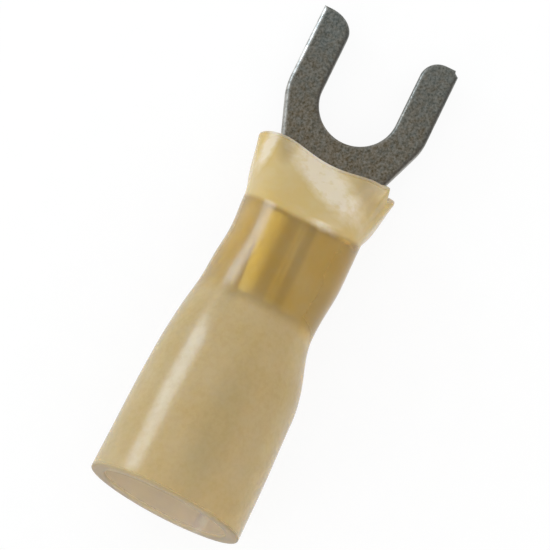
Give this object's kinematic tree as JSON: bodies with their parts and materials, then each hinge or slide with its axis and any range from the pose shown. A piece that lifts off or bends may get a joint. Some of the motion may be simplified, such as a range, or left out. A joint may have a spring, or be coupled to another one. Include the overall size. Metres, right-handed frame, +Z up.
{
  "type": "fork terminal",
  "caption": "Insulated fork terminal: tinned copper fork with a rolled, butt-seamed wire barrel inside a translucent amber heat-shrink sleeve that is open for the wire.",
  "frame": {"origin": "where the axis of the stud meets the underside of the fork, at the centre of the slot's round end", "axes": "+X along the tines and away from the wire, +Y across the fork, +Z up through the fork on the side of the barrel's seam"},
  "size_m": [0.0336, 0.0102, 0.0101],
  "materials": {
    "tinned_copper": "matt tin plate over stamped copper strip, finely mottled",
    "amber_sleeve": "soft-gloss milky translucent heat-shrink tube"
  },
  "bodies": {
    "root": {"fork_and_barrel": "tinned_copper", "heat_shrink_sleeve": "amber_sleeve"}
  },
  "joints": []
}
